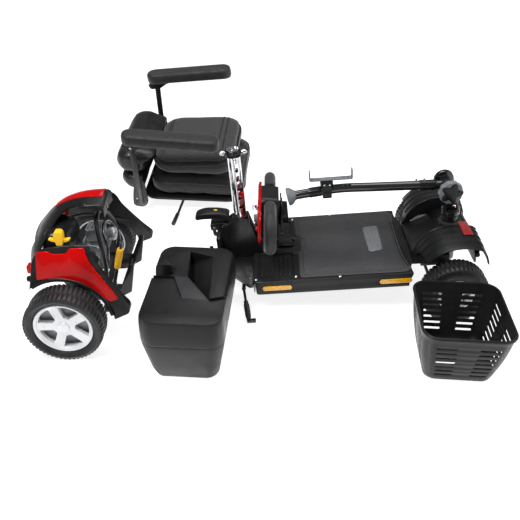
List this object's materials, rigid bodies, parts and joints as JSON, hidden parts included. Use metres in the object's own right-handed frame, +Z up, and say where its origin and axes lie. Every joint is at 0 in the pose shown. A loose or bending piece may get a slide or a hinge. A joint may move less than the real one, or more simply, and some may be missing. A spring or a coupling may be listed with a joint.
{
  "type": "mobility scooter",
  "caption": "Travel mobility scooter taken apart: front chassis with folded tiller, rear drive unit, battery box, basket and seat.",
  "frame": {"origin": "on the floor, below the centre of the whole layout", "axes": "+X forward for every section, +Y to the scooter's left, +Z up"},
  "size_m": [1.5199, 1.5964, 0.5388],
  "materials": {
    "black_plastic": "fine-grained black moulded plastic",
    "black_steel": "black powder coat",
    "deck_rubber": "dark grey ribbed rubber",
    "chrome": "polished",
    "tyre": "black rubber",
    "rim_silver": "silver paint",
    "casting": "cast",
    "red_gloss": "deep glossy red",
    "yellow_plastic": "yellow moulded",
    "grey_plastic": "mid grey moulded",
    "black_foam": "soft black foam grip",
    "seat_fabric": "black woven fabric and vinyl",
    "red_lens": "red lens"
  },
  "bodies": {
    "chassis": {"front_frame": "black_steel", "deck_tray": "black_plastic", "deck_mat": "deck_rubber", "front_shroud": "black_plastic", "post_tower": "black_steel"},
    "steering": {"steering_yoke": "black_steel"},
    "knuckle_right": {"front_knuckle_right": "black_steel"},
    "knuckle_left": {"front_knuckle_left": "black_steel"},
    "front_wheel_right": {"front_tyre_right": "tyre", "front_rim_right": "rim_silver"},
    "front_wheel_left": {"front_tyre_left": "tyre", "front_rim_left": "rim_silver"},
    "tie_rod": {"tie_rod": "black_steel"},
    "fold_knob": {"fold_knob": "grey_plastic"},
    "tiller": {"tiller_stem": "black_steel", "accessory_clamp": "black_plastic", "accessory_bracket": "grey_plastic", "head_housing": "black_plastic", "head_cover": "red_gloss", "loop_grip_right": "black_foam", "loop_grip_left": "black_foam"},
    "throttle": {"throttle_lever": "black_plastic"},
    "speed_dial": {"speed_dial": "grey_plastic"},
    "ignition_key": {"ignition_key": "chrome"},
    "horn_button": {"horn_button": "red_lens"},
    "seat_post": {"seat_post": "chrome", "post_collar": "black_plastic"},
    "release_paddle": {"release_paddle": "black_plastic"},
    "stand": {"support_stand": "black_steel"},
    "drive_unit": {"rear_frame": "black_steel", "transaxle": "casting", "motor": "casting", "rear_axle": "casting", "rear_shroud": "black_plastic", "motor_cover": "black_plastic", "top_trim": "red_gloss", "side_panel_right": "red_gloss", "side_panel_left": "red_gloss"},
    "rear_wheel_right": {"rear_tyre_right": "tyre", "rear_rim_right": "rim_silver"},
    "rear_wheel_left": {"rear_tyre_left": "tyre", "rear_rim_left": "rim_silver"},
    "freewheel_lever": {"freewheel_lever": "yellow_plastic"},
    "lock_bar": {"lock_bar": "black_steel", "lock_grip": "yellow_plastic"},
    "battery_box": {"battery_case": "black_plastic", "battery_cover": "black_plastic", "battery_pack": "grey_plastic"},
    "basket": {"basket": "black_plastic"},
    "seat_base": {"seat_socket": "black_steel"},
    "seat": {"seat_pan": "black_plastic", "seat_cushion": "seat_fabric", "arm_bar_right": "black_steel", "arm_bar_left": "black_steel"},
    "backrest": {"backrest_pad": "seat_fabric", "backrest_shell": "seat_fabric"},
    "arm_right": {"arm_pad_right": "black_foam"},
    "arm_left": {"arm_pad_left": "black_foam"},
    "swivel_lever": {"swivel_lever": "black_steel"}
  },
  "joints": [
    {"name": "steering", "type": "hinge", "parent": "chassis", "child": "steering", "pos_m": [0.6745, -0.1986, 0.17966], "axis": [-0.0837, 0, 0.9965], "range_deg": [-25, 25]},
    {"name": "knuckle_right_pivot", "type": "hinge", "parent": "chassis", "child": "knuckle_right", "pos_m": [0.64805, -0.3846, 0.11221], "axis": [-0.0837, 0, 0.9965], "range_deg": [-25, 25]},
    {"name": "knuckle_left_pivot", "type": "hinge", "parent": "chassis", "child": "knuckle_left", "pos_m": [0.64805, -0.0126, 0.11221], "axis": [-0.0837, 0, 0.9965], "range_deg": [-25, 25]},
    {"name": "tie_rod_travel", "type": "slide", "parent": "chassis", "child": "tie_rod", "axis": [0, 1, 0], "range_m": [-0.0205, 0.0205]},
    {"name": "front_wheel_right_spin", "type": "hinge", "parent": "knuckle_right", "child": "front_wheel_right", "pos_m": [0.6481, -0.4401, 0.11162], "axis": [0, 1, 0], "continuous": true},
    {"name": "front_wheel_left_spin", "type": "hinge", "parent": "knuckle_left", "child": "front_wheel_left", "pos_m": [0.6481, 0.0429, 0.11162], "axis": [0, 1, 0], "continuous": true},
    {"name": "tiller_fold", "type": "hinge", "parent": "steering", "child": "tiller", "pos_m": [0.63367, -0.1986, 0.39099], "axis": [0, 1, 0], "range_deg": [0, 80]},
    {"name": "fold_knob_turn", "type": "hinge", "parent": "steering", "child": "fold_knob", "pos_m": [0.63367, -0.2586, 0.39099], "axis": [0, 1, 0], "continuous": true},
    {"name": "throttle_tilt", "type": "hinge", "parent": "tiller", "child": "throttle", "pos_m": [0.06286, -0.1986, 0.27848], "axis": [1, 0, 0], "range_deg": [-12, 12], "stiffness_Nm_per_rad": 0.6},
    {"name": "speed_dial_turn", "type": "hinge", "parent": "tiller", "child": "speed_dial", "pos_m": [-0.02714, -0.2726, 0.29548], "axis": [1, 0, 0], "range_deg": [-135, 135]},
    {"name": "key_turn", "type": "hinge", "parent": "tiller", "child": "ignition_key", "pos_m": [-0.02714, -0.2226, 0.30949], "axis": [1, 0, 0], "range_deg": [0, 90]},
    {"name": "horn_press", "type": "slide", "parent": "tiller", "child": "horn_button", "axis": [1, 0, 0], "range_m": [0, 0.003], "stiffness_N_per_m": 300},
    {"name": "seat_post_height", "type": "slide", "parent": "chassis", "child": "seat_post", "axis": [-0.0837, 0, 0.9965], "range_m": [0, 0.1]},
    {"name": "release_paddle_lift", "type": "hinge", "parent": "chassis", "child": "release_paddle", "pos_m": [-0.13293, -0.1986, 0.27042], "axis": [0, 1, 0], "range_deg": [0, 20]},
    {"name": "stand_fold", "type": "hinge", "parent": "chassis", "child": "stand", "pos_m": [-0.06687, -0.1986, 0.08128], "axis": [0, 1, 0], "range_deg": [-80, 0]},
    {"name": "drive_unit_lift", "type": "slide", "parent": "chassis", "child": "drive_unit", "axis": [0, 0, 1], "range_m": [0, 0.6]},
    {"name": "rear_wheel_right_spin", "type": "hinge", "parent": "drive_unit", "child": "rear_wheel_right", "pos_m": [-0.616, -0.6351, 0.1245], "axis": [0, 1, 0], "continuous": true},
    {"name": "rear_wheel_left_spin", "type": "hinge", "parent": "drive_unit", "child": "rear_wheel_left", "pos_m": [-0.616, -0.1301, 0.1245], "axis": [0, 1, 0], "continuous": true},
    {"name": "freewheel_select", "type": "hinge", "parent": "drive_unit", "child": "freewheel_lever", "pos_m": [-0.615, -0.5426, 0.306], "axis": [0, 1, 0], "range_deg": [0, 18]},
    {"name": "lock_bar_swing", "type": "hinge", "parent": "drive_unit", "child": "lock_bar", "pos_m": [-0.49, -0.4906, 0.16], "axis": [0, 1, 0], "range_deg": [0, 40]},
    {"name": "battery_lift", "type": "slide", "parent": "chassis", "child": "battery_box", "axis": [0, 0, 1], "range_m": [0, 0.6]},
    {"name": "basket_lift", "type": "slide", "parent": "chassis", "child": "basket", "axis": [0, 0, 1], "range_m": [0, 0.6]},
    {"name": "seat_lift", "type": "slide", "parent": "chassis", "child": "seat_base", "axis": [0, 0, 1], "range_m": [0, 0.6]},
    {"name": "seat_swivel", "type": "hinge", "parent": "seat_base", "child": "seat", "pos_m": [-0.312, 0.51705, 0.07423], "axis": [0, -0.1478, 0.989], "continuous": true},
    {"name": "backrest_fold", "type": "hinge", "parent": "seat", "child": "backrest", "pos_m": [-0.5396, 0.51594, 0.17315], "axis": [0.0593, 0.9873, 0.1475], "range_deg": [-100, 0]},
    {"name": "arm_right_tip", "type": "hinge", "parent": "seat", "child": "arm_right", "pos_m": [-0.54375, 0.21418, 0.3505], "axis": [0.0593, 0.9873, 0.1475], "range_deg": [-97, 0]},
    {"name": "arm_left_tip", "type": "hinge", "parent": "seat", "child": "arm_left", "pos_m": [-0.51149, 0.75126, 0.43077], "axis": [0.0593, 0.9873, 0.1475], "range_deg": [-88, 9]},
    {"name": "swivel_lever_pull", "type": "hinge", "parent": "seat", "child": "swivel_lever", "pos_m": [-0.35727, 0.43232, 0.04943], "axis": [0, -0.1478, 0.989], "range_deg": [0, 12]}
  ],
  "couplings": [
    {"joint": "knuckle_right_pivot", "follows": "steering", "ratio": 1},
    {"joint": "knuckle_left_pivot", "follows": "steering", "ratio": 1},
    {"joint": "tie_rod_travel", "follows": "steering", "m_per_rad": -0.046}
  ]
}
